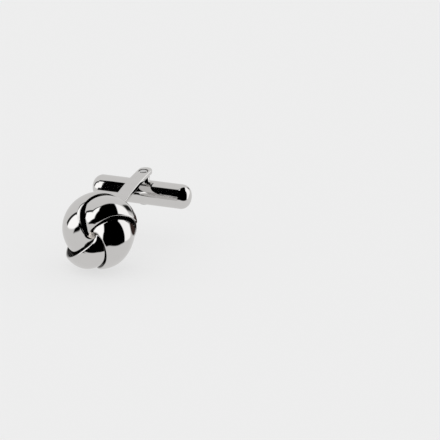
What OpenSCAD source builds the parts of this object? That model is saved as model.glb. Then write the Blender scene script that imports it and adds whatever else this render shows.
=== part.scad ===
// Knot cufflink with a swivel bar.
// The origin is the middle of the flat back face of the head, +Y runs along the post
// towards the bar, +X along the bar at rest and +Z up, towards the side that the arm passes on.

/* [Knot] */
// Radius of the ball that the four bands make
knot_r = 7; // [6:0.1:9]
// Depth of the dimple at the eye, below the ball
dimple_depth = 2.5; // [2:0.05:3]
// Angle from the eye at which the dimple has come up to the ball, in degrees
dimple_angle = 52; // [36:1:60]
// Tilt of the woven pattern's eye up from the line of the post, in degrees
pattern_tilt = 7.5; // [0:0.5:12]
// Turn of the woven pattern's eye sideways towards +X, in degrees
pattern_turn = 6; // [-8:0.5:8]
// Angle at the ball's middle between the post's line and the rim of the back face, in degrees
back_angle = 42; // [38:1:48]
// Height by which the bottom band's free rim flares out at the side of the ball
flare_h = 1.05; // [0:0.05:1.2]
// Depth by which the right band lies in at the side of the ball, under the top band's raised rim
inset_h = 0.5; // [0:0.05:0.6]
// Thickness of a band
band_t = 0.6; // [0.5:0.05:0.8]
// Height by which the middle of a band bulges above its rims
band_crown = 0.16; // [0:0.02:0.3]
// Depth by which a band's skin is thinned where it dives under the next band's rim
dive_h = 0.38; // [0:0.02:0.42]
// Radius of the bead's neck, which stands in the core
bead_neck_r = 0.38; // [0.3:0.02:0.4]
// Radius of the bead's domed face
bead_dome_r = 1.6; // [1.2:0.1:2.4]
// Rise of the bead's nose past the bottom of the dimple
bead_rise = 1.05; // [0.9:0.05:1.2]

/* [Back plate] */
// Thickness of the back plate
plate_t = 1; // [0.7:0.1:1.3]
// Distance by which the plate's rim lies in from the ball
plate_inset = 0.4; // [0.05:0.05:0.5]
// Width of the bevel round the back face
plate_bevel = 0.3; // [0.1:0.05:0.4]

/* [Post] */
// Distance from the back face to the swivel's axis
post_len = 15.4; // [14:0.2:19]
// Height of the bar's axis above the middle of the back face
post_rise = 1.75; // [0.8:0.05:2.2]
// Lean of the swivel's axis back towards the knot, in degrees
swivel_lean = 6.5; // [5:0.5:9]
// Width of the arm
arm_w = 2.65; // [2:0.05:3]
// Thickness of the arm
arm_t = 0.85; // [0.7:0.05:1]
// Radius of the arm's bow, to the middle of its thickness
arm_bow_r = 60; // [45:1:90]
// Reach of the arm past the middle of its eye, without its round end
arm_over = 0.8; // [0.4:0.1:1.4]
// Width of the arm's foot pad on the head
foot_w = 3.8; // [3:0.1:4.4]
// Height of the foot pad
foot_h = 2; // [1.2:0.1:2.4]
// Thickness of the foot pad
foot_t = 0.5; // [0.3:0.05:0.8]

/* [Bar] */
// Length of the bar over its two ends
bar_len = 20; // [17:0.2:22]
// Radius of the bar
bar_r = 2.38; // [2.1:0.02:2.5]
// Distance from the middle of the bar to the swivel's axis
bar_shift = 0.5; // [0:0.05:0.6]
// Radius that rounds the bar's ends
bar_end_round = 1.75; // [1.4:0.05:1.9]
// Radius of the bore along the bar
bore_r = 1.1; // [0.9:0.05:1.2]
// Length of an end cap outside the bar's tube
cap_len = 1.9; // [1.8:0.1:2.6]

/* [Swivel] */
// Radius of the pivot pin
pin_r = 0.58; // [0.5:0.02:0.64]
// Gap between the bar's round top and the underside of the arm
swivel_gap = 1.15; // [0.9:0.05:1.4]
// Radius of the round boss on the bar under the arm
boss_r = 1.15; // [1:0.05:1.3]
// Thickness of the spring washer between boss and arm
washer_t = 0.22; // [0.15:0.01:0.26]
// Radius of the coil spring, to the middle of its wire
coil_r = 0.76; // [0.6:0.02:0.8]
// Radius of the coil spring's wire
wire_r = 0.16; // [0.1:0.01:0.2]

/* [Hidden] */

// Clearance between pieces that are fixed to each other
seat_gap = 0.03;
// Running clearance on the radius between the pin and what turns on it
run_gap = 0.04;
// Overrun of a cut past the face that it opens
over = 0.5;
// Sides of a round surface
round_n = 72;
small_n = 32;

// The four bands in the order top, left, bottom, right, each lying over the one before it.
// Turn of each band's free rim about the eye, in degrees anticlockwise from +X, seen from the front
rim_turn = [71.5, 137.5, 249, 350];
// Degrees by which a rim falls back for every degree away from the eye
rim_fall = 0.5;
// Further sweep of each rim on its way to the back, in degrees
rim_sweep = [-2, -8, -9, 43];
// Extra turn of each rim as it winds up round the eye, and how fast that dies away, in degrees
rim_wind = [89, 114, 106, 131];
wind_angle = 12;
// Share of the flare height by which each band's free rim stands out at the side of the ball
rim_flare_shares = [0, 0.09, 1, 0];
// Shares of the inset depth by which each band lies in at its free rim, its middle and its tucked edge
rim_inset_shares = [0.7, 0, 0, 0.5];
middle_inset_shares = [0, 0.3, 0, 0.9];
tuck_inset_shares = [0, 0, 0.5, 1];
// Share of the way to the back at which a band lies in by its full inset
inset_end_share = 0.8;
// Angle from the eye's axis to the middle of each band's straight inner end, in degrees
eye_angle = 6.3;
// Clearance between a band and the one that dives under it
weave_gap = 0.05;
// Share of a band's width that is tucked under its neighbour, past the neighbour's rim
tuck_share = 0.12;
// Share of each band's width at which its skin begins to dive
dive_from_shares = [0.76, 0.94, 0.93, 0.9];
// Rings of a band's skin, how they crowd towards the eye, and the shares of its width that its columns lie at
band_rings = 26;
ring_crowding = 1.15;
column_shares = [0, 0.1, 0.2, 0.32, 0.44, 0.56, 0.68, 0.77, 0.85, 0.91, 0.95, 0.98, 1];

step_h = band_t + weave_gap;
rim_lift = 0.4 * step_h;
back_depth = knot_r * cos(back_angle);
eye_depth = knot_r - dimple_depth;
ball_y = -back_depth;
band_end_y = back_depth - plate_t - seat_gap;
core_clear = 0.2;
core_r = knot_r + step_at(90, 1 + tuck_share) - inset_h - band_t - core_clear;
core_front = eye_depth - 1.55 * band_t;
// Polar angle at which the pattern's turn and tilt have died away, in degrees
pattern_end = 120;
bead_seat = core_front / 2;
bead_nose = eye_depth + bead_rise;
plate_rim_r = sqrt(pow(knot_r, 2) - pow(back_depth - plate_t, 2)) - plate_inset;
plate_face_r = sqrt(pow(knot_r, 2) - pow(back_depth, 2));

arm_mid = bar_r + swivel_gap + arm_t / 2;
arm_top = arm_mid + arm_t / 2;
arm_under = arm_mid - arm_t / 2;
arm_span = 1.25 * post_len;

pin_head_r = 1.35 * pin_r;
pin_head_h = 0.16 * pin_r;
sink_r = 1.7 * pin_r;
sink_h = 0.3 * arm_t;
pin_flat = 0.88 * pin_r;
pin_flat_h = 1.5 * bore_r;
collar_r = 1.75 * pin_r;
collar_t = 0.6 * pin_r;
collar_z = -bar_r + collar_t / 2;

boss_top = arm_under - washer_t - 2 * run_gap;
tube_left = -bar_len / 2 - bar_shift + cap_len;
tube_right = bar_len / 2 - bar_shift - cap_len;
spigot_len = 0.8 * cap_len;
spigot_r = bore_r - seat_gap;
plunger_x = pin_r + run_gap;
plunger_len = 2.1 * bore_r;
plunger_stem_r = coil_r - wire_r - run_gap;
plunger_stem = 1.5 * bore_r;
coil_start = plunger_x + plunger_len + wire_r + run_gap;
coil_end = tube_right - spigot_len - wire_r - run_gap;
coil_turns = 6;
coil_rings = 8;
wire_sides = 6;

// Angle of band k's free rim at polar angle th; k = 4 is the first rim again, a full turn on
function rim_at(k, th) =
    let (i = k % 4)
    rim_turn[i] + (k >= 4 ? 360 : 0) - rim_fall * th - rim_sweep[i] * pow(sin(th), 2)
        + rim_wind[i] * exp(-th / wind_angle);

// Radius of the ball without its bands' steps: it dips to the eye in front
function ball_at(th) = knot_r - (knot_r - eye_depth) * (1 - sin(90 * min(th / dimple_angle, 1)));

// Height of a band above the ball at polar angle th and the share u of its width from its free rim
function step_at(th, u) =
    rim_lift - step_h * pow(u, 2) + band_crown * pow(sin(180 * u) * sin(min(th, 90)), 2);

// How far band k's skin dives at share u of its width, towards its tucked edge
function dive_at(k, u) =
    let (from = dive_from_shares[k])
    dive_h * pow(min(max(u - from, 0) / (1 - from), 1), 2);

// How far band k's skin flares out at polar angle th and share u of its width
function flare_at(k, th, u) = flare_h * rim_flare_shares[k] * pow(sin(min(th, 90)), 3) * cos(90 * min(u, 1));

// How far band k's skin lies in at share t of the way to the back and share u of its width
function inset_at(k, t, u) =
    let (
        v = min(u, 1),
        across = rim_inset_shares[k] * (1 - v) + tuck_inset_shares[k] * v,
        middle = middle_inset_shares[k] * pow(sin(180 * v), 2)
    )
    inset_h * pow(sin(90 * min(t / inset_end_share, 1)), 8) * (across + middle);

// A point of the knot: the pattern is turned and tilted at the eye, and square to the post at the back
function knot_point(th, turn, r) =
    let (
        fade = pow(cos(90 * min(th / pattern_end, 1)), 2),
        tilt = pattern_tilt * fade,
        yaw = pattern_turn * fade,
        p = [r * sin(th) * cos(turn), -r * cos(th), r * sin(th) * sin(turn)],
        y = p[1] * cos(tilt) + p[2] * sin(tilt),
        z = p[2] * cos(tilt) - p[1] * sin(tilt)
    )
    [p[0] * cos(yaw) - y * sin(yaw), ball_y + p[0] * sin(yaw) + y * cos(yaw), z];

// A point of a band's skin at share t of the way to the back and share u across; drop is how far below
function band_point(k, t, u, drop) =
    let (
        end_r = knot_r + step_at(90, u) + flare_at(k, 90, u) - inset_at(k, 1, u) - drop,
        th_start = eye_angle / cos(90 * u - 45),
        th = th_start + (acos(-band_end_y / end_r) - th_start) * t,
        first = rim_at(k, th),
        turn = first + (rim_at(k + 1, th) - first) * u
    )
    knot_point(th, turn, ball_at(th) + step_at(th, u) + flare_at(k, th, u) - inset_at(k, t, u) - drop);

// One crowned band: its free rim stands over the next band's tucked edge
module band(k) {
    columns = concat(column_shares, [1 + tuck_share]);
    cols = len(columns);
    ring = 2 * cols;
    points = [
        for (i = [0 : band_rings])
            let (t = pow(i / band_rings, ring_crowding))
            each concat(
                [for (j = [0 : cols - 1]) band_point(k, t, columns[j], dive_at(k, columns[j]))],
                [for (j = [cols - 1 : -1 : 0]) band_point(k, t, columns[j], band_t)]
            )
    ];
    sides = [
        for (i = [0 : band_rings - 1], j = [0 : ring - 1])
            let (a = i * ring + j, b = i * ring + (j + 1) % ring)
            each [[a, b, b + ring], [a, b + ring, a + ring]]
    ];
    last = band_rings * ring;
    caps = [
        for (j = [0 : cols - 2])
            let (q = ring - 1 - j)
            each [
                [j, q, q - 1], [j, q - 1, j + 1],
                [last + j, last + q - 1, last + q], [last + j, last + j + 1, last + q - 1]
            ]
    ];
    polyhedron(points, concat(sides, caps), convexity = 6);
}

module band_top() {
    color([0.80, 0.79, 0.78]) band(0);
}

module band_left() {
    color([0.76, 0.75, 0.74]) band(1);
}

module band_bottom() {
    color([0.72, 0.71, 0.70]) band(2);
}

module band_right() {
    color([0.78, 0.77, 0.76]) band(3);
}

// Places a piece drawn along +Z so that it runs from the ball's middle out to the eye
module along_eye() {
    translate([0, ball_y, 0]) rotate([90 - pattern_tilt, 0, pattern_turn]) children();
}

// Outline of the bead at the distance h from the ball's middle, inside the bands' inner ends
function bead_outline(h) = [
    for (k = [0 : 3], i = [0 : 3])
        let (
            u = i / 4,
            th = eye_angle / cos(90 * u - 45),
            first = rim_at(k, th),
            turn = first + (rim_at(k + 1, th) - first) * u
        )
        (h * tan(th) - seat_gap) * [cos(turn), sin(turn)]
];

// The four-sided domed bead that closes the eye
module centre_bead() {
    color([0.74, 0.69, 0.67])
    along_eye() {
        translate([0, 0, bead_seat]) cylinder(r = bead_neck_r, h = core_front - bead_seat, $fn = small_n);
        intersection() {
            translate([0, 0, core_front])
            linear_extrude(height = bead_nose - core_front, scale = bead_nose / core_front)
            polygon(bead_outline(core_front));
            translate([0, 0, bead_nose - bead_dome_r]) sphere(r = bead_dome_r, $fn = small_n);
        }
    }
}

// The core that the bands are soldered over, flat in front and at the back
module knot_core() {
    color([0.62, 0.55, 0.42])
    difference() {
        translate([0, ball_y, 0]) rotate([-90, 0, 0]) rotate_extrude($fn = round_n) core_profile();
        along_eye()
        translate([0, 0, bead_seat - seat_gap])
        cylinder(r = bead_neck_r + seat_gap, h = knot_r, $fn = small_n);
    }
}

module core_profile() {
    intersection() {
        circle(r = core_r, $fn = round_n);
        translate([0, -core_front]) square([core_r, core_front + back_depth - plate_t]);
    }
}

// The plate that closes the back
module back_plate() {
    color([0.74, 0.74, 0.74])
    rotate([-90, 0, 0])
    rotate_extrude($fn = round_n)
    polygon([
        [0, -plate_t], [plate_rim_r - plate_bevel, -plate_t], [plate_rim_r, plate_bevel - plate_t],
        [plate_face_r + plate_bevel / 2, -plate_bevel], [plate_face_r - plate_bevel / 2, 0], [0, 0]
    ]);
}

// The swivel's own frame: x along the bar, z up the pin, tangent to the arm at its eye
module at_swivel() {
    translate([0, post_len, post_rise]) rotate([swivel_lean, 0, 0]) children();
}

// Side view of the arm, a band of a large ring
module arm_side() {
    bow_z = arm_mid - arm_bow_r;
    intersection() {
        translate([0, bow_z]) difference() {
            circle(r = arm_bow_r + arm_t / 2, $fn = 360);
            circle(r = arm_bow_r - arm_t / 2, $fn = 360);
        }
        translate([-arm_span, 0]) square([arm_span + arm_over + arm_w, 2 * arm_mid]);
    }
}

// Plan of the arm, round at its eye
module arm_plan() {
    translate([0, arm_over]) circle(d = arm_w, $fn = round_n);
    translate([-arm_w / 2, -arm_span]) square([arm_w, arm_span + arm_over]);
}

// Height of the arm's middle where it meets the back face
function foot_z() =
    let (
        out = post_len / cos(swivel_lean) + arm_mid * tan(swivel_lean),
        rise = arm_mid - arm_bow_r + sqrt(pow(arm_bow_r, 2) - pow(out, 2))
    )
    post_rise + rise * cos(swivel_lean) - out * sin(swivel_lean);

// The bowed arm that carries the bar, with its foot pad and the countersunk eye for the pin
module post_arm() {
    color([0.78, 0.77, 0.77])
    difference() {
        union() {
            at_swivel() arm_blank();
            translate([-foot_w / 2, 0, foot_z() - foot_h / 2]) cube([foot_w, foot_t, foot_h]);
        }
        translate([-foot_w, -back_depth - post_len, -knot_r])
        cube([2 * foot_w, back_depth + post_len, 2 * knot_r]);
    }
}

module arm_blank() {
    difference() {
        intersection() {
            rotate([90, 0, 90]) translate([0, 0, -foot_w]) linear_extrude(2 * foot_w) arm_side();
            linear_extrude(2 * arm_top) arm_plan();
        }
        translate([0, 0, arm_under - over])
        cylinder(r = pin_r + seat_gap, h = arm_t + 2 * over, $fn = small_n);
        translate([0, 0, arm_top - sink_h]) cylinder(r = sink_r, h = sink_h + over, $fn = small_n);
    }
}

// The riveted pin: its head fills the arm's countersink, its waist is the square that the plunger rides
module pivot_pin() {
    color([0.70, 0.70, 0.71])
    at_swivel() {
        difference() {
            translate([0, 0, -bar_r + collar_t / 4])
            cylinder(r = pin_r, h = bar_r - collar_t / 4 + arm_top, $fn = small_n);
            for (turn = [0 : 90 : 270]) rotate([0, 0, turn])
                translate([pin_flat, -pin_r, -pin_flat_h / 2]) cube([pin_r, 2 * pin_r, pin_flat_h]);
        }
        translate([0, 0, arm_top - sink_h]) cylinder(r = pin_head_r, h = sink_h + pin_head_h, $fn = small_n);
    }
}

// Coned spring washer between the boss and the arm
module cone_washer() {
    bore = pin_r + run_gap;
    cone = arm_under - boss_top - washer_t - run_gap;
    color([0.66, 0.66, 0.67])
    at_swivel() translate([0, 0, boss_top + run_gap / 2]) rotate_extrude($fn = small_n) polygon([
        [bore, cone], [boss_r, 0], [boss_r, washer_t], [bore, cone + washer_t]
    ]);
}

// Collar that the pin is riveted over, sunk in the underside of the bar
module rivet_collar() {
    color([0.70, 0.70, 0.71])
    at_swivel() translate([0, 0, -bar_r + collar_t / 4]) difference() {
        cylinder(r = collar_r, h = collar_t, $fn = small_n);
        translate([0, 0, -over]) cylinder(r = pin_r, h = collar_t + 2 * over, $fn = small_n);
    }
}

// Turns a piece drawn round the z axis so that it lies along the bar
module along_bar() {
    rotate([0, 90, 0]) children();
}

// The tube of the bar, with its boss, its cross bore and the long bore for the click spring
module bar_tube() {
    color([0.77, 0.77, 0.77])
    at_swivel() difference() {
        union() {
            translate([tube_left, 0, 0])
            along_bar()
            cylinder(r = bar_r, h = tube_right - tube_left, $fn = round_n);
            translate([0, 0, bar_r / 2]) cylinder(r = boss_r, h = boss_top - bar_r / 2, $fn = round_n);
        }
        translate([tube_left - over, 0, 0]) along_bar()
            cylinder(r = bore_r, h = tube_right - tube_left + 2 * over, $fn = round_n);
        translate([0, 0, -2 * bar_r]) cylinder(r = pin_r + run_gap, h = 4 * bar_r, $fn = small_n);
        translate([0, 0, -2 * bar_r])
        cylinder(r = collar_r + run_gap, h = bar_r + 5 / 4 * collar_t + run_gap, $fn = small_n);
    }
}

// One round end cap with its spigot in the tube, drawn with its shoulder at zero
module end_cap() {
    flat_r = bar_r - bar_end_round;
    along_bar() rotate_extrude($fn = round_n) {
        translate([0, -spigot_len]) square([spigot_r, spigot_len]);
        square([bar_r, cap_len - bar_end_round]);
        square([flat_r, cap_len]);
        intersection() {
            translate([flat_r, cap_len - bar_end_round]) circle(r = bar_end_round, $fn = round_n);
            translate([flat_r, cap_len - bar_end_round]) square([bar_end_round, bar_end_round]);
        }
    }
}

module end_cap_left() {
    color([0.79, 0.79, 0.79])
    at_swivel() translate([tube_left, 0, 0]) mirror([1, 0, 0]) end_cap();
}

module end_cap_right() {
    color([0.79, 0.79, 0.79])
    at_swivel() translate([tube_right, 0, 0]) end_cap();
}

// Plunger that clicks on the pin's square waist
module detent_plunger() {
    color([0.60, 0.60, 0.62])
    at_swivel() translate([plunger_x, 0, 0]) along_bar() {
        cylinder(r = bore_r - run_gap, h = plunger_len, $fn = small_n);
        translate([0, 0, plunger_len]) cylinder(r = plunger_stem_r, h = plunger_stem, $fn = small_n);
    }
}

// Coil spring between the plunger's shoulder and the right cap's spigot
module detent_spring() {
    color([0.55, 0.56, 0.58])
    at_swivel() along_bar() coil();
}

module coil() {
    rings = coil_turns * coil_rings;
    rise = (coil_end - coil_start) / rings;
    points = [
        for (i = [0 : rings], j = [0 : wire_sides - 1])
            let (
                turn = i * 360 / coil_rings,
                spin = j * 360 / wire_sides,
                out = coil_r + wire_r * cos(spin)
            )
            [out * cos(turn), out * sin(turn), coil_start + i * rise + wire_r * sin(spin)]
    ];
    sides = [
        for (i = [0 : rings - 1], j = [0 : wire_sides - 1])
            let (a = i * wire_sides + j, b = i * wire_sides + (j + 1) % wire_sides)
            each [[a, b + wire_sides, b], [a, a + wire_sides, b + wire_sides]]
    ];
    last = rings * wire_sides;
    caps = [
        for (j = [1 : wire_sides - 2])
            each [[0, j, j + 1], [last, last + j + 1, last + j]]
    ];
    polyhedron(points, concat(sides, caps), convexity = 12);
}

band_top();
band_left();
band_bottom();
band_right();
centre_bead();
knot_core();
back_plate();
post_arm();
pivot_pin();
cone_washer();
rivet_collar();
bar_tube();
end_cap_left();
end_cap_right();
detent_plunger();
detent_spring();
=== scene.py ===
# Looks of a polished knot cufflink with a swivel bar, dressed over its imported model.
import math

import bpy
from mathutils import Matrix, Vector


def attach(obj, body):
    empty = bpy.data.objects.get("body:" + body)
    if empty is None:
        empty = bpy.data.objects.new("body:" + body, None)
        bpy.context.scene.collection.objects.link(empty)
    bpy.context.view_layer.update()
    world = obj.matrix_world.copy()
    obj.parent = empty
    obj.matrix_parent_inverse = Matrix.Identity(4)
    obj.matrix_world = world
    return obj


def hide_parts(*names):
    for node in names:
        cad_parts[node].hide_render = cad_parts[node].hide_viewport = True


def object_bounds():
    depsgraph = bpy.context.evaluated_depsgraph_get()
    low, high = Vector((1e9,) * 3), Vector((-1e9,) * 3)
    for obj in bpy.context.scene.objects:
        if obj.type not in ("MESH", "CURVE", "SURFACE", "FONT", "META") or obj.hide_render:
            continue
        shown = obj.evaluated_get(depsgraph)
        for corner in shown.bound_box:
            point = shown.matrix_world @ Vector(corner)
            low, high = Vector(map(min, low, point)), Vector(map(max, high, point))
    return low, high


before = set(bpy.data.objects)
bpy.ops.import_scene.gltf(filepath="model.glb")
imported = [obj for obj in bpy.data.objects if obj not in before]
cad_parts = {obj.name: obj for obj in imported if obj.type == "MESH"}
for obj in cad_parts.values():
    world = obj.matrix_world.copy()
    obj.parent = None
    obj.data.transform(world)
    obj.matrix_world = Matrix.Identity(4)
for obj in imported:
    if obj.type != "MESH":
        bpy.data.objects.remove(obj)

MM = 0.001
cad_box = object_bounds()

# Sizes of the part in millimetres, as its source has them
KNOT_R = 7.0
DIMPLE_DEPTH = 2.5
DIMPLE_ANGLE = 52
PATTERN_TILT = 7.5
PATTERN_TURN = 6
BACK_DEPTH = KNOT_R * math.cos(math.radians(42))
FLARE_H = 1.05
INSET_H = 0.5
BAND_T = 0.6
BAND_CROWN = 0.16
BEAD_DOME_R = 1.6
BEAD_RISE = 1.05
PLATE_T = 1.0
PLATE_BEVEL = 0.3
PLATE_INSET = 0.4
POST_LEN = 15.4
POST_RISE = 1.75
SWIVEL_LEAN = 6.5
ARM_W = 2.65
ARM_T = 0.85
ARM_BOW_R = 60
ARM_OVER = 0.8
FOOT_W = 3.8
FOOT_H = 2.0
FOOT_T = 0.5
FOOT_EDGE_R = 0.2
BAR_LEN = 20.0
BAR_R = 2.38
BAR_SHIFT = 0.5
BAR_END_ROUND = 1.75
BORE_R = 1.1
CAP_LEN = 1.9
PIN_R = 0.58
SWIVEL_GAP = 1.15
BOSS_R = 1.15
BOSS_ROUND = 0.1
WASHER_T = 0.22
SEAT_GAP = 0.03
RUN_GAP = 0.04
WEAVE_GAP = 0.05

# The four bands: turn, sweep, winding and flare of each free rim, in the order top, left, bottom,
# right. Turn, sweep and winding are in degrees.
BANDS = ("band_top", "band_left", "band_bottom", "band_right")
RIM_TURN = (71.5, 141, 249, 350)
RIM_FALL = 0.5
RIM_SWEEP = (-2, 0, -9, 43)
RIM_WIND = (155, 150, 150, 150)
WIND_ANGLE = (7, 9.5, 9, 8)
RIM_FLARE = (0, 0.09 * FLARE_H, FLARE_H, 0)
INSET_SHARES = ((0.7, 0, 0), (0, 0.3, 0), (0, 0, 0.5), (0.5, 0.9, 1))
INSET_END = 0.8
EYE_ANGLE = 6.3
TUCK_SHARE = 0.12

STEP_H = BAND_T + WEAVE_GAP
RIM_LIFT = 0.4 * STEP_H
EYE_DEPTH = KNOT_R - DIMPLE_DEPTH
BAND_END_Y = BACK_DEPTH - PLATE_T - SEAT_GAP
ARM_MID = BAR_R + SWIVEL_GAP + ARM_T / 2


def sin(degrees):
    return math.sin(math.radians(degrees))


def cos(degrees):
    return math.cos(math.radians(degrees))


# Camera: where the photograph was taken from, and where the middle of the knot's ball falls in it
PHOTO_PX = 440
SENSOR_MM = 36.0
CAM_AZIMUTH = 24
CAM_ELEVATION = 18
CAM_DISTANCE = 380
PX_PER_MM = 5.4
BALL_PX = (101, 230.5)


def make_camera():
    towards = Vector((sin(CAM_AZIMUTH) * cos(CAM_ELEVATION), -cos(CAM_AZIMUTH) * cos(CAM_ELEVATION),
                      sin(CAM_ELEVATION)))
    right = Vector((cos(CAM_AZIMUTH), sin(CAM_AZIMUTH), 0))
    up = towards.cross(right)
    focal_px = PX_PER_MM * CAM_DISTANCE
    seen = Vector((BALL_PX[0] - PHOTO_PX / 2, PHOTO_PX / 2 - BALL_PX[1], -focal_px)).normalized()
    swing = seen.rotation_difference(Vector((0, 0, -1))).to_matrix()
    data = bpy.data.cameras.new("camera")
    data.sensor_width = SENSOR_MM
    data.lens = focal_px / PHOTO_PX * SENSOR_MM
    data.clip_start = 0.01
    data.clip_end = 20
    camera = bpy.data.objects.new("camera", data)
    bpy.context.scene.collection.objects.link(camera)
    camera.location = (Vector((0, -BACK_DEPTH, 0)) + towards * CAM_DISTANCE) * MM
    basis = Matrix((right, up, towards)).transposed() @ swing
    camera.rotation_mode = "QUATERNION"
    camera.rotation_quaternion = basis.to_quaternion()
    bpy.context.scene.camera = camera


class Value:
    """A shader socket that Python's operators work on."""

    def __init__(self, nodes, socket):
        self.nodes = nodes
        self.socket = socket

    def math(self, operation, *others):
        return self.nodes.make("ShaderNodeMath", {"operation": operation}, self, *others)

    def __add__(self, other):
        return self.math("ADD", other)

    def __mul__(self, other):
        return self.math("MULTIPLY", other)

    __rmul__ = __mul__


class Nodes:
    """Makes and links the nodes of one tree."""

    def __init__(self, tree):
        self.tree = tree
        tree.nodes.clear()

    def make(self, kind, settings=None, *inputs, output=0, **named):
        node = self.tree.nodes.new(kind)
        for key, value in (settings or {}).items():
            setattr(node, key, value)
        for index, value in enumerate(inputs):
            self.feed(node.inputs[index], value)
        for name, value in named.items():
            self.feed(node.inputs[name.replace("_", " ")], value)
        return Value(self, node.outputs[output]) if node.outputs else node

    def feed(self, socket, value):
        if value is None:
            return
        if isinstance(value, Value):
            self.tree.links.new(value.socket, socket)
        else:
            socket.default_value = value

    def mix(self, share, low, high):
        """A colour between low and high."""
        node = self.tree.nodes.new("ShaderNodeMix")
        node.data_type = "RGBA"
        self.feed(node.inputs[0], share)
        self.feed(node.inputs[6], low)
        self.feed(node.inputs[7], high)
        return Value(self, node.outputs[2])


def grey(tone, warm=0.0):
    return (tone * (1 + warm), tone, tone * (1 - warm), 1.0)


def new_material(name):
    """A material with an empty tree, and the maker of its nodes."""
    material = bpy.data.materials.new(name)
    material.use_nodes = True
    return material, Nodes(material.node_tree)


# Studio: what the metal sees, a pale tent with white and black cards. A card is (tone, softness, its
# corners), and a corner is a bearing from the front of the head towards +X and a height above the
# horizon, all in degrees.
TENT = 0.66
TENT_WARM = 0.008
CARD_WARM = 0.004
CARDS = (
    (1.18, 5, ((-78, -4), (-62, 34), (-15, 40), (-8, -10))),
    (1.18, 5, ((-40, 46), (-118, 82), (2, 66), (-10, 10))),
    (0.01, 4, ((-94, 0), (-77, -4), (-62, 34), (-76, 37))),
    (0.01, 4, ((-74, 38), (-62, 30), (-40, 45), (-48, 54))),
    (0.01, 3, ((-52, 50), (-40, 45), (-118, 82), (-134, 79))),
    (1.08, 5, ((108, -16), (150, -14), (157, 22), (161, 50), (110, 50))),
    (0.01, 5, ((157, 16), (163, 27), (177, 8), (170, -1))),
    (0.0, 4, ((-18, -2), (112, -18), (112, 42), (-13, 62))),
    (0.0, 4, ((-31, -9), (-17, 12), (30, 0), (30, -19), (4, -15))),
    (0.0, 4, ((-31, -18), (-31, -9), (-17, -2), (-14, -17))),
    (0.0, 4, ((-140, 79), (-13, 62), (40, 40), (112, 42))),
    (0.0, 4, ((-140, 79), (60, 50), (112, 42), (162, 48))),
)
# The black card over the head: where it stands along Y, and its corners' X and Z. It shows from behind.
FLAG_Y = -2
FLAG = ((-14.4, 1), (-11.9, 1.7), (-7, 4), (-4.2, 9.4), (-2.5, 7.3), (-0.7, 5.8), (1, 5.1), (1.6, -2.4),
        (12, -2.3), (33, -2.4), (160, 6), (94, 31), (27, 29.5), (13, 51.5), (-13, 56), (-20, 60),
        (-41, 92), (-46, 97), (-38.8, 75.8), (-19.4, 26.4), (-15.8, 13.8), (-14.7, 7.3))
# The dark brown spot behind the head's right side: its middle's X, Y and Z, and its half width and height
SPOT_AT = (6.2, 0.3, 0.5)
SPOT_SIZE = (3.1, 2.4)
SPOT_EDGE = (0.85, 1.12)
SPOT_ROOM = 1.2
SPOT_BROWN = (0.036, 0.023, 0.02, 1.0)
FLOOR_TONE = 0.855
FLOOR_GLOW = 0.75
FLOOR_R = 3.0
FLOOR_GAP = 0.0003


def bearing_vector(bearing, height):
    return Vector((sin(bearing) * cos(height), -cos(bearing) * cos(height), sin(height)))


def make_studio():
    world = bpy.data.worlds.new("studio")
    bpy.context.scene.world = world
    world.use_nodes = True
    nodes = Nodes(world.node_tree)
    way = nodes.make("ShaderNodeTexCoord")
    sky = grey(TENT, TENT_WARM)
    for tone, soft, corners in CARDS:
        corners = [bearing_vector(*corner) for corner in corners]
        middle = sum(corners, Vector())
        half = sin(soft / 2)
        card = 1.0
        for here, there in zip(corners, corners[1:] + corners[:1]):
            inward = here.cross(there).normalized()
            if inward.dot(middle) < 0:
                inward.negate()
            inside = nodes.make("ShaderNodeVectorMath", {"operation": "DOT_PRODUCT"}, way, inward, output=1)
            card = card * nodes.make("ShaderNodeMapRange", {"interpolation_type": "SMOOTHSTEP"}, inside,
                                     -half, half, 0.0, 1.0)
        sky = nodes.mix(card, sky, grey(tone, CARD_WARM))
    path = nodes.make("ShaderNodeLightPath")
    lights = path.socket.node.outputs
    seen = nodes.mix(Value(nodes, lights["Is Diffuse Ray"]), sky, grey(1.0))
    seen = nodes.mix(Value(nodes, lights["Is Camera Ray"]), seen, grey(FLOOR_TONE))
    background = nodes.make("ShaderNodeBackground", None, seen, 1.0)
    nodes.make("ShaderNodeOutputWorld", None, background)


def spot_share(nodes):
    """The brown spot's outline: 1 in its middle, soft at its edge."""
    place = nodes.make("ShaderNodeTexCoord", output=3)
    wide, high = SPOT_SIZE
    centred = nodes.make("ShaderNodeMapping", {"vector_type": "TEXTURE"}, place,
                         Location=tuple(c * MM for c in SPOT_AT), Scale=(wide * MM, 1.0, high * MM))
    out = nodes.make("ShaderNodeVectorMath", {"operation": "LENGTH"}, centred, output=1)
    inner, outer = SPOT_EDGE
    return nodes.make("ShaderNodeMapRange", {"interpolation_type": "SMOOTHSTEP"}, out,
                      inner, outer, 1.0, 0.0)


def make_card(name, y, corners, colour, outline=None):
    """A card across the Y axis that shows from behind only, so that the knot looks through it."""
    mesh = bpy.data.meshes.new(name)
    mesh.from_pydata([Vector((x, y, z)) * MM for x, z in corners], [], [tuple(range(len(corners)))])
    card = bpy.data.objects.new(name, mesh)
    bpy.context.scene.collection.objects.link(card)
    material, nodes = new_material(name)
    paint = nodes.make("ShaderNodeEmission", None, colour, 1.0)
    clear = nodes.make("ShaderNodeBsdfTransparent")
    shown = nodes.make("ShaderNodeNewGeometry", output=6)
    if outline:
        shown = shown * outline(nodes)
    mixed = nodes.make("ShaderNodeMixShader", None, shown, clear, paint)
    nodes.make("ShaderNodeOutputMaterial", None, mixed)
    mesh.materials.append(material)
    card.visible_camera = False
    card.visible_diffuse = False
    card.visible_shadow = False
    card.visible_transmission = False


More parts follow.
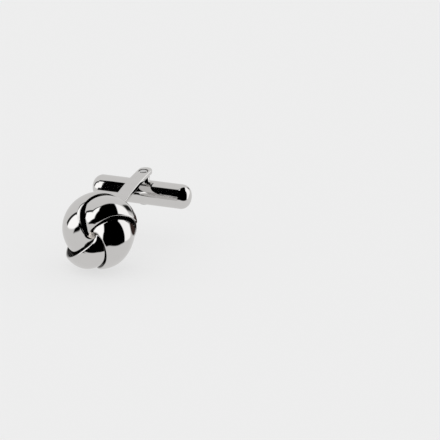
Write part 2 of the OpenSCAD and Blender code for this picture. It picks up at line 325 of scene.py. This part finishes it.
def make_brown_spot():
    x, y, z = SPOT_AT
    wide, high = (SPOT_ROOM * size for size in SPOT_SIZE)
    corners = ((x - wide, z - high), (x - wide, z + high), (x + wide, z + high), (x + wide, z - high))
    make_card("brown_spot", y, corners, SPOT_BROWN, spot_share)


def make_floor():
    lowest = cad_box[0].z
    bpy.ops.object.select_all(action="DESELECT")
    bpy.ops.mesh.primitive_circle_add(vertices=96, radius=FLOOR_R, fill_type="NGON",
                                      location=(0, 0, lowest - FLOOR_GAP))
    floor = bpy.context.object
    floor.name = "floor"
    material, nodes = new_material("pale_floor")
    paint = nodes.make("ShaderNodeBsdfDiffuse", None, grey(FLOOR_TONE))
    glow = nodes.make("ShaderNodeEmission", None, grey(FLOOR_TONE), 1.0)
    mixed = nodes.make("ShaderNodeMixShader", None, FLOOR_GLOW, paint, glow)
    nodes.make("ShaderNodeOutputMaterial", None, mixed)
    floor.data.materials.append(material)
    floor.visible_glossy = False


# Painted shade: the near-black colour painted down in the knot's gaps and under its bands, where shade
# falls
GAP_SHADE_PAINT = grey(0.015, 0.1)


def polished(name, tone, rough, scratch=0.25, grain=None, warm=0.01, shade_attribute=None):
    """Plated metal: near-mirror, with faint polishing haze and hairlines; grain stretches the lines.

    The last argument names an attribute that paints shade: the colour turns near black down in the metal's
    gaps.
    """
    material, nodes = new_material(name)
    place = nodes.make("ShaderNodeTexCoord", output=3)
    haze = nodes.make("ShaderNodeTexNoise", None, place, Scale=420.0, Detail=4.0)
    lines_at = nodes.make("ShaderNodeMapping", None, place, Scale=grain or (1.0, 1.0, 1.0))
    lines = nodes.make("ShaderNodeTexNoise", None, lines_at, Scale=5200.0, Detail=3.0, Roughness=0.6)
    roughness = haze * (0.7 * rough) + lines * (0.25 * rough) + 0.5 * rough
    colour = nodes.mix(haze, grey(tone * 0.965, warm), grey(tone * 1.02, warm))
    # Painted shade: near-black colour where the attribute marks a gap
    if shade_attribute:
        gap = nodes.make("ShaderNodeAttribute", {"attribute_name": shade_attribute}, output=2)
        colour = nodes.mix(gap, colour, GAP_SHADE_PAINT)
    bump = nodes.make("ShaderNodeBump", None, Strength=scratch, Distance=0.0000012, Height=lines)
    metal = nodes.make("ShaderNodeBsdfPrincipled", None, Base_Color=colour, Metallic=1.0,
                       Roughness=roughness, Normal=bump)
    nodes.make("ShaderNodeOutputMaterial", None, metal)
    return material


def turned_metal(name, tone, rough, axis_at, lean, warm=0.0):
    """Metal turned on a lathe: fine rings about an axis that leans in the Y-Z plane."""
    material, nodes = new_material(name)
    place = nodes.make("ShaderNodeTexCoord", output=3)
    centred = nodes.make("ShaderNodeMapping", {"vector_type": "TEXTURE"}, place,
                         Location=tuple(c * MM for c in axis_at), Rotation=(math.radians(lean), 0.0, 0.0))
    rings = nodes.make("ShaderNodeTexWave", {"wave_type": "RINGS", "rings_direction": "Z"}, centred,
                       Scale=2600.0, Distortion=0.6, Detail=2.0)
    haze = nodes.make("ShaderNodeTexNoise", None, place, Scale=900.0, Detail=3.0)
    roughness = rings * (0.35 * rough) + haze * (0.5 * rough) + 0.55 * rough
    colour = nodes.mix(haze, grey(tone * 0.95, warm), grey(tone * 1.03, warm))
    bump = nodes.make("ShaderNodeBump", None, Strength=0.2, Distance=0.000003, Height=rings)
    metal = nodes.make("ShaderNodeBsdfPrincipled", None, Base_Color=colour, Metallic=1.0,
                       Roughness=roughness, Normal=bump)
    nodes.make("ShaderNodeOutputMaterial", None, metal)
    return material


def shaped_grid(name, across, along, place, smooth=40, gap_at=None):
    """A grid primitive bent point by point: place(a, b) takes shares 0 to 1 and gives millimetres.

    gap_at(a, b) gives how far down in a gap a point lies, 0 to 1, kept as the attribute "gap".
    """
    bpy.ops.object.select_all(action="DESELECT")
    bpy.ops.mesh.primitive_grid_add(x_subdivisions=across, y_subdivisions=along, size=2.0)
    piece = bpy.context.object
    piece.name = name
    gaps = piece.data.attributes.new("gap", "FLOAT", "POINT") if gap_at else None
    for vertex in piece.data.vertices:
        a, b = (vertex.co.x + 1) / 2, (vertex.co.y + 1) / 2
        if gap_at:
            gaps.data[vertex.index].value = gap_at(a, b)
        vertex.co = Vector(place(a, b)) * MM
    bpy.ops.object.mode_set(mode="EDIT")
    bpy.ops.mesh.select_all(action="SELECT")
    bpy.ops.mesh.remove_doubles(threshold=1e-7)
    bpy.ops.mesh.select_all(action="DESELECT")
    bpy.ops.mesh.select_mode(type="EDGE")
    bpy.ops.mesh.select_non_manifold()
    bpy.ops.mesh.fill_holes(sides=0)
    bpy.ops.mesh.select_mode(type="VERT")
    bpy.ops.mesh.select_all(action="SELECT")
    bpy.ops.mesh.normals_make_consistent(inside=False)
    bpy.ops.object.mode_set(mode="OBJECT")
    bpy.ops.object.shade_smooth_by_angle(angle=math.radians(smooth))
    return piece


def dress(piece, material, body, slot, *replaced):
    piece.data.materials.clear()
    piece.data.materials.append(material)
    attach(piece, body)
    if replaced:
        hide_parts(*replaced)


# Knot: the same rules as the part's source, sampled finely and with rounded rims, which near the eye
# lie up to half a millimetre from the source's. u runs across a band from its free rim to its tucked
# edge, th is the angle from the eye, and t runs along a band from the eye to the back.
RIM_ROUND = 0.34
RIM_ROUND_H = 0.12
GAP_FROM = (0.95, 0.93, 0.96, 0.96)
GAP_FADE = 0.03
ROW_CROWDING = 1.15
SKIN_COLS = 72
SKIN_ROWS = 170


def rim_at(k, th):
    i = k % 4
    return (RIM_TURN[i] + (360 if k >= 4 else 0) - RIM_FALL * th - RIM_SWEEP[i] * sin(th) ** 2
            + RIM_WIND[i] * math.exp(-th / WIND_ANGLE[i]))


def ball_at(th):
    return KNOT_R - DIMPLE_DEPTH * (1 - sin(90 * min(th / DIMPLE_ANGLE, 1)))


def step_at(th, u):
    return RIM_LIFT - STEP_H * u ** 2 + BAND_CROWN * (sin(180 * u) * sin(min(th, 90))) ** 2


# Where each band's skin dives: how deep, from what share of its width, how much later than that away
# from the eye, and how sharply it bends
DIVE_H = (0.5, 0.38, 0.38, 0.38)
DIVE_FROM = (0.5, 0.94, 0.93, 0.9)
DIVE_RISE = (0.43, 0, 0, 0)
DIVE_BEND = (1.3, 2, 2, 2)
DIVE_SPAN = (15, 60)
# The left band leans in beside the eye, and its rim thins out at the top, in a slope and a bevel
EYE_LEAN = (0, 0.45, 0, 0)
LEAN_SPAN = (5, 45)
RIM_THINNED = (0, 0.42, 0, 0)
THIN_SPAN = (20, 55)
SLOPE_SHARE, SLOPE_WIDTH = 0.4, 0.35
BEVEL_SHARE, BEVEL_WIDTH = 0.6, 0.055


def part_of(span, th):
    """How far th is through a span of angles, 0 to 1."""
    first, last = span
    return min(max((th - first) / (last - first), 0), 1)


def dive_at(k, th, u):
    """Extra fall of a band's skin under its neighbour's rim, and where its own rim thins out."""
    start = DIVE_FROM[k] + DIVE_RISE[k] * part_of(DIVE_SPAN, th)
    under = DIVE_H[k] * min(max(u - start, 0) / (1 - start), 1) ** DIVE_BEND[k]
    thinned = SLOPE_SHARE * max(1 - u / SLOPE_WIDTH, 0) ** 2 + BEVEL_SHARE * max(1 - u / BEVEL_WIDTH, 0)
    return under + RIM_THINNED[k] * sin(90 * part_of(THIN_SPAN, th)) ** 2 * thinned


def lean_at(k, th, u):
    """Extra fall of a band's skin across its narrow part, beside the eye."""
    return EYE_LEAN[k] * u * sin(180 * part_of(LEAN_SPAN, th)) ** 2


def flare_at(k, th, u):
    return RIM_FLARE[k] * sin(min(th, 90)) ** 3 * cos(90 * min(u, 1))


def inset_at(k, t, u):
    rim, middle, tuck = INSET_SHARES[k]
    v = min(u, 1)
    return (INSET_H * sin(90 * min(t / INSET_END, 1)) ** 8
            * (rim * (1 - v) + middle * sin(180 * v) ** 2 + tuck * v))


def knot_point(th, turn, r):
    fade = cos(min(th, 120) * 90 / 120) ** 2
    tilt, yaw = PATTERN_TILT * fade, PATTERN_TURN * fade
    p = (r * sin(th) * cos(turn), -r * cos(th), r * sin(th) * sin(turn))
    y = p[1] * cos(tilt) + p[2] * sin(tilt)
    z = p[2] * cos(tilt) - p[1] * sin(tilt)
    return (p[0] * cos(yaw) - y * sin(yaw), p[0] * sin(yaw) + y * cos(yaw) - BACK_DEPTH, z)


def band_point(k, t, u, drop, dive=False):
    end_r = KNOT_R + step_at(90, u) + flare_at(k, 90, u) - inset_at(k, 1, u) - drop
    start = EYE_ANGLE / cos(90 * u - 45)
    th = start + (math.degrees(math.acos(-BAND_END_Y / end_r)) - start) * t
    first = rim_at(k, th)
    turn = first + (rim_at(k + 1, th) - first) * u
    lift = ball_at(th) + step_at(th, u) + flare_at(k, th, u) - inset_at(k, t, u) - lean_at(k, th, u)
    return knot_point(th, turn, lift - (max(drop, dive_at(k, th, u)) if dive else drop))


def band_outline():
    """Round a band's section: (share of its width, millimetres in from the rim, drop below the skin)."""
    wide = 1 + TUCK_SHARE
    skin = [(wide * i / SKIN_COLS, RIM_ROUND * (1 - i / SKIN_COLS), 0) for i in range(SKIN_COLS + 1)]
    below = [(wide * (1 - i / 20), RIM_ROUND * i / 20, BAND_T) for i in range(21)]
    turn_in = [(0, RIM_ROUND * (1 - sin(a)), BAND_T - RIM_ROUND / 2 * (1 - cos(a))) for a in (20, 45, 70)]
    face = [(0, 0, BAND_T - RIM_ROUND / 2), (0, 0, (BAND_T + RIM_ROUND / 2) / 2)]
    turn_out = [(0, RIM_ROUND * (1 - cos(a)), RIM_ROUND_H * (1 - sin(a))) for a in range(0, 90, 10)]
    loop = skin + below + turn_in + face + turn_out
    return loop + loop[:1]


def make_band(k, material):
    loop = band_outline()

    def place(a, b):
        share, inset, drop = loop[round(a * (len(loop) - 1))]
        t = b ** ROW_CROWDING
        rim, inner = (Vector(band_point(k, t, u, 0)) for u in (0, 0.1))
        width = (inner - rim).length / 0.1
        u = share + inset / width
        return band_point(k, t, u, drop, True)

    # Where shade is painted: a band's whole underside, and its skin near the tucked edge
    def gap_at(a, b):
        share, inset, drop = loop[round(a * (len(loop) - 1))]
        return 1 if drop > BAND_T / 2 else min(max((share - GAP_FROM[k]) / GAP_FADE, 0), 1)

    band = shaped_grid("smooth_" + BANDS[k], len(loop) - 1, SKIN_ROWS, place, gap_at=gap_at)
    dress(band, material, "head", "polished_plate", BANDS[k])


def turned(name, profile, matrix, steps=96, smooth=40):
    """A turned piece: profile is (radius, height) in millimetres along the local z axis."""
    last = len(profile) - 1

    def place(a, b):
        r, z = profile[round(b * last)]
        return matrix @ Vector((r * cos(360 * a), r * sin(360 * a), z))

    return shaped_grid(name, steps, last, place, smooth)


def cut_with(piece, tool):
    """Cuts a piece with a tool, which then goes."""
    step = piece.modifiers.new("cut", "BOOLEAN")
    step.operation = "DIFFERENCE"
    step.solver = "EXACT"
    step.object = tool
    bpy.ops.object.select_all(action="DESELECT")
    piece.select_set(True)
    bpy.context.view_layer.objects.active = piece
    bpy.ops.object.modifier_apply(modifier=step.name)
    bpy.data.objects.remove(tool)


def arc(cx, cy, r, start, end, steps):
    angles = [start + (end - start) * i / steps for i in range(steps + 1)]
    return [(cx + r * cos(angle), cy + r * sin(angle)) for angle in angles]


def swivel_frame():
    return Matrix.Translation((0, POST_LEN, POST_RISE)) @ Matrix.Rotation(math.radians(SWIVEL_LEAN), 4, "X")


BEAD_SEAT_SHARE = 1.55
DOME_ROWS = 0.8


def make_bead(material):
    """The four-sided bead: a dome that fills the opening between the bands' inner ends."""
    eye = (Matrix.Translation((0, -BACK_DEPTH, 0)) @ Matrix.Rotation(math.radians(PATTERN_TURN), 4, "Z")
           @ Matrix.Rotation(math.radians(90 - PATTERN_TILT), 4, "X"))
    nose = EYE_DEPTH + BEAD_RISE
    foot = EYE_DEPTH - BEAD_SEAT_SHARE * BAND_T

    def place(a, b):
        k = min(int(4 * a), 3)
        u = 4 * a - k
        th = EYE_ANGLE / cos(90 * u - 45)
        turn = rim_at(k, th) + (rim_at(k + 1, th) - rim_at(k, th)) * u
        spread = math.tan(math.radians(th)) - SEAT_GAP / foot
        share = min(b / DOME_ROWS, 1)
        z = nose
        for _ in range(4):
            z = nose - BEAD_DOME_R + math.sqrt(BEAD_DOME_R ** 2 - (share * spread * z) ** 2)
        if b > 0.99:
            z = foot
        return eye @ Vector((share * spread * z * cos(turn), share * spread * z * sin(turn), z))

    bead = shaped_grid("smooth_bead", 64, 10, place)
    dress(bead, material, "head", "polished_plate", "centre_bead")


def make_back_plate(material):
    back = Matrix.Rotation(math.radians(-90), 4, "X")
    rim = math.sqrt(KNOT_R ** 2 - (BACK_DEPTH - PLATE_T) ** 2) - PLATE_INSET
    face = math.sqrt(KNOT_R ** 2 - BACK_DEPTH ** 2)
    profile = [(0, -PLATE_T), (rim - PLATE_BEVEL, -PLATE_T)]
    profile += arc(rim - PLATE_BEVEL, PLATE_BEVEL - PLATE_T, PLATE_BEVEL, -90, 30, 8)
    profile += arc(face - 2 * PLATE_BEVEL, -2 * PLATE_BEVEL, 2 * PLATE_BEVEL, 20, 90, 10)
    profile += [(0, 0)]
    plate = turned("smooth_back_plate", profile, back, 128)
    dress(plate, material, "head", "back_plate", "back_plate")


def make_bar(material):
    along = swivel_frame() @ Matrix.Rotation(math.radians(90), 4, "Y")
    left = -BAR_LEN / 2 - BAR_SHIFT + CAP_LEN
    right = BAR_LEN / 2 - BAR_SHIFT - CAP_LEN
    walls = [(BORE_R, left), (BAR_R, left), (BAR_R, right), (BORE_R, right), (BORE_R, left)]
    tube = turned("smooth_bar_tube", walls, along, 192)
    boss_top = ARM_MID - ARM_T / 2 - WASHER_T - 2 * RUN_GAP
    boss_side = [(0, BAR_R / 2), (BOSS_R, BAR_R / 2)]
    boss_side += arc(BOSS_R - BOSS_ROUND, boss_top - BOSS_ROUND, BOSS_ROUND, 0, 90, 4) + [(0, boss_top)]
    boss = turned("bar_boss", boss_side, swivel_frame(), 64)
    dress(tube, material, "bar", "bar_plate", "bar_tube")
    dress(boss, material, "bar", "bar_plate")
    flat = BAR_R - BAR_END_ROUND
    spigot = 0.8 * CAP_LEN
    end = ([(0, -spigot), (BORE_R - SEAT_GAP, -spigot), (BORE_R - SEAT_GAP, 0), (BAR_R, 0)]
           + arc(flat, CAP_LEN - BAR_END_ROUND, BAR_END_ROUND, 0, 90, 24) + [(0, CAP_LEN)])
    for name, at, side in (("end_cap_left", left, -1), ("end_cap_right", right, 1)):
        profile = [(r, at + side * z) for r, z in end]
        cap = turned("smooth_" + name, profile, along, 192)
        dress(cap, material, "bar", "bar_plate", name)


ARM_EDGE_R = 0.16
ARM_FOOT_RUN = 1.6
# The pin's head in its sunk place in the arm's tip, in shares of the pin's radius, and how deep it
# sits, in a share of the arm's thickness
GROOVE_SHARE = 1.7
SUNK_SHARE = 0.42
PIN_HEAD_SHARE = 1.22
PIN_PROUD_SHARE = 0.16
PIN_TAIL_SHARE = 0.15
PIN_EDGE = 0.06


def make_arm(material):
    """The arm: a rounded bar section swept to a round tip, drilled for the pin's head and bowed."""
    half, soft = ARM_W / 2, ARM_EDGE_R
    foot = -POST_LEN - ARM_FOOT_RUN
    corners = [(soft * (1 - sin(a)), soft * (1 - cos(a))) for a in range(0, 91, 15)]
    side = [(half - inset, ARM_T / 2 - drop) for inset, drop in corners]
    top = [(half - soft) * (1 - i / 6) for i in range(1, 6)]
    right = side + [(x, -z) for x, z in side[::-1]]
    under = [(x, -ARM_T / 2) for x in top] + [(0, -ARM_T / 2)]
    loop = right + under
    loop += [(-x, z) for x, z in loop[-2::-1]] + [(-x, ARM_T / 2) for x in top] + [(0, ARM_T / 2)]
    loop += [(x, ARM_T / 2) for x in top[::-1]] + loop[:1]
    straight, round_end = 40, 20
    stations = [(foot + (ARM_OVER - foot) * i / straight, 0) for i in range(straight)]
    stations += [(ARM_OVER, 90 * i / round_end) for i in range(round_end + 1)]

    def plan(a, b):
        x, z = loop[round(a * (len(loop) - 1))]
        y, swing = stations[round(b * (len(stations) - 1))]
        reach = min(abs(x), half) if abs(x) > half - soft - 0.001 else half - soft
        return x * cos(swing), y + reach * sin(swing), ARM_MID + z

    arm = shaped_grid("smooth_arm", len(loop) - 1, len(stations) - 1, plan)
    groove = GROOVE_SHARE * PIN_R
    drill = turned("drill", [(0, 0), (groove, 0), (groove, 2), (0, 2)],
                   Matrix.Translation((0, 0, ARM_MID + ARM_T / 2 - SUNK_SHARE * ARM_T)), 64)
    cut_with(arm, drill)
    place = swivel_frame()
    for vertex in arm.data.vertices:
        x, y, z = vertex.co / MM
        bow = y / ARM_BOW_R
        r = ARM_BOW_R + z - ARM_MID
        p = place @ Vector((x, r * math.sin(bow), ARM_MID - ARM_BOW_R + r * math.cos(bow)))
        vertex.co = Vector((p.x, max(p.y, 0.05), p.z)) * MM
    bpy.ops.object.shade_smooth_by_angle(angle=math.radians(35))
    dress(arm, material, "head", "arm_plate", "post_arm")


def make_foot(material):
    out = POST_LEN / cos(SWIVEL_LEAN) + ARM_MID * math.tan(math.radians(SWIVEL_LEAN))
    rise = ARM_MID - ARM_BOW_R + math.sqrt(ARM_BOW_R ** 2 - out ** 2)
    foot_z = POST_RISE + rise * cos(SWIVEL_LEAN) - out * sin(SWIVEL_LEAN)
    bpy.ops.object.select_all(action="DESELECT")
    bpy.ops.mesh.primitive_cube_add(size=1.0)
    pad = bpy.context.object
    pad.name = "foot_pad"
    for vertex in pad.data.vertices:
        x, y, z = vertex.co
        vertex.co = Vector((x * FOOT_W, (y + 0.5) * FOOT_T, foot_z + z * FOOT_H)) * MM
    soften = pad.modifiers.new("soften", "BEVEL")
    soften.width = FOOT_EDGE_R * MM
    soften.segments = 4
    bpy.ops.object.modifier_apply(modifier=soften.name)
    bpy.ops.object.shade_smooth_by_angle(angle=math.radians(35))
    dress(pad, material, "head", "arm_plate")


def make_pin(material):
    top = ARM_MID + ARM_T / 2
    head = PIN_HEAD_SHARE * PIN_R
    sunk = top - SUNK_SHARE * ARM_T
    proud = PIN_PROUD_SHARE * PIN_R
    tail = -BAR_R + PIN_TAIL_SHARE * PIN_R
    profile = [(0, tail), (PIN_R, tail), (PIN_R, sunk), (head, sunk)]
    profile += [(head * cos(a), top - PIN_EDGE + (proud + PIN_EDGE) * sin(a)) for a in range(0, 91, 9)]
    pin = turned("smooth_pin", profile, swivel_frame(), 64)
    dress(pin, material, "head", "pin_steel", "pivot_pin")


def repaint(node, material):
    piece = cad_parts[node]
    piece.data.materials.clear()
    piece.data.materials.append(material)


make_camera()
make_studio()
make_card("black_card", FLAG_Y, FLAG, grey(0.0))
make_brown_spot()
make_floor()

# The knot's metal carries painted shade in its gaps
knot_plate = polished("knot_plate", 0.80, 0.035, shade_attribute="gap")
bar_plate = polished("bar_plate", 0.80, 0.035)
bead_plate = polished("bead_plate", 0.92, 0.55, 0.3, None, 0.06)
arm_plate = polished("arm_plate", 0.80, 0.10, 0.4, (12.0, 1.0, 12.0))
satin_plate = polished("satin_plate", 0.76, 0.22, 0.5, (1.0, 1.0, 14.0))
pin_metal = turned_metal("pin_metal", 0.74, 0.16, (0, POST_LEN, POST_RISE), SWIVEL_LEAN)
spring_metal = polished("spring_metal", 0.58, 0.20, 0.4)
core_metal = polished("core_metal", 0.50, 0.35, 0.5, None, 0.22)

for band in range(4):
    make_band(band, knot_plate)
make_bead(bead_plate)
make_back_plate(satin_plate)
make_bar(bar_plate)
make_arm(arm_plate)
make_foot(arm_plate)
make_pin(pin_metal)
repaint("knot_core", core_metal)
repaint("cone_washer", spring_metal)
repaint("rivet_collar", pin_metal)
repaint("detent_plunger", pin_metal)
repaint("detent_spring", spring_metal)

scene = bpy.context.scene
scene.view_settings.view_transform = "Standard"
